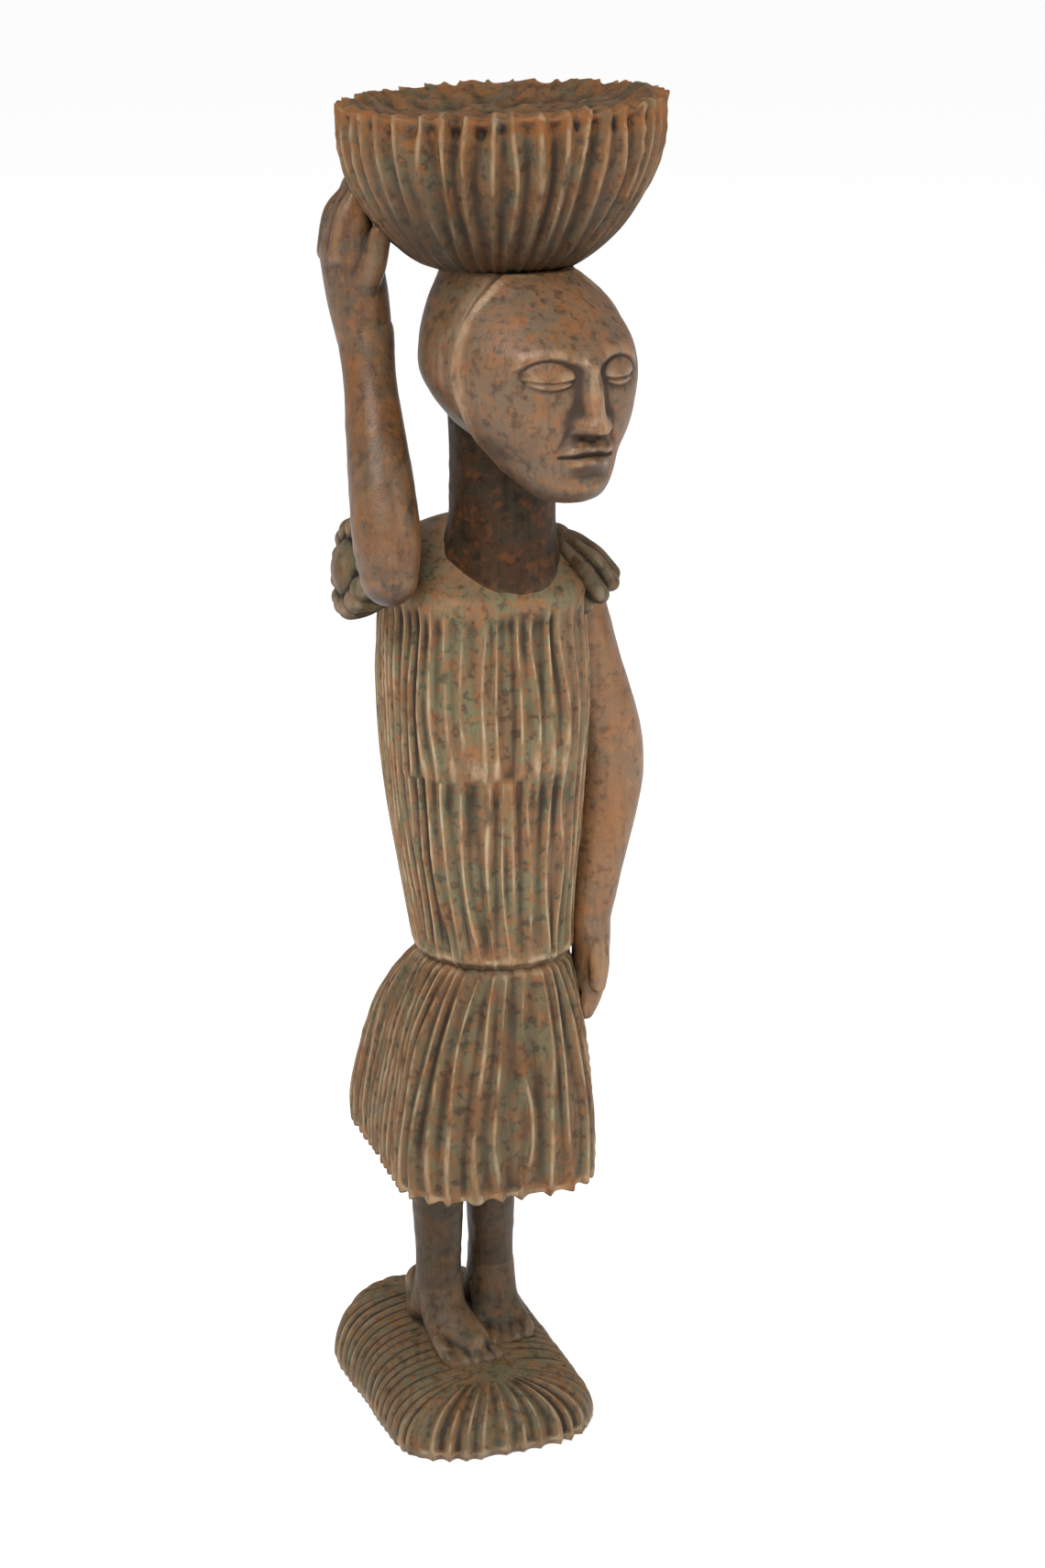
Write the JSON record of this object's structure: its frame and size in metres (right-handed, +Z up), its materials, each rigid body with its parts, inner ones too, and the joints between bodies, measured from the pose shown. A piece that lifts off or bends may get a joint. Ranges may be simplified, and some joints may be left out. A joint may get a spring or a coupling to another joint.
{
  "type": "carved figure carrying a bowl",
  "caption": "Standing carved wooden woman in a ribbed gown who steadies a fluted bowl on her head with one raised hand, on a ribbed mound base.",
  "frame": {"origin": "centre of the base's flat underside", "axes": "+Z up, the figure's gown faces -Y, +X is the figure's left"},
  "size_m": [0.1434, 0.1684, 0.6037],
  "materials": {
    "base_wood": "hand-carved, dark stained, worn to a soft sheen on the ridges",
    "skin_wood": "hand-carved, dark stained, worn to a soft sheen on the ridges",
    "leg_wood": "hand-carved, dark stained, worn to a soft sheen on the ridges",
    "gown_wood": "hand-carved, dark stained, worn to a soft sheen on the ridges",
    "neck_wood": "hand-carved, dark stained, worn to a soft sheen on the ridges",
    "hair_wood": "hand-carved, dark stained, worn to a soft sheen on the ridges",
    "face_wood": "hand-carved, dark stained, worn to a soft sheen on the ridges",
    "bowl_wood": "hand-carved, dark stained, worn to a soft sheen on the ridges"
  },
  "bodies": {
    "root": {"base_mound": "base_wood", "right_foot": "skin_wood", "left_foot": "skin_wood", "right_leg": "leg_wood", "left_leg": "leg_wood", "skirt": "gown_wood", "bodice": "gown_wood", "right_sleeve": "gown_wood", "left_sleeve": "gown_wood", "right_upper_arm": "skin_wood", "right_forearm": "skin_wood", "right_hand": "skin_wood", "left_arm": "skin_wood", "left_hand": "skin_wood", "neck": "neck_wood", "hair_cap": "hair_wood", "face": "face_wood", "bowl": "bowl_wood"}
  },
  "joints": []
}
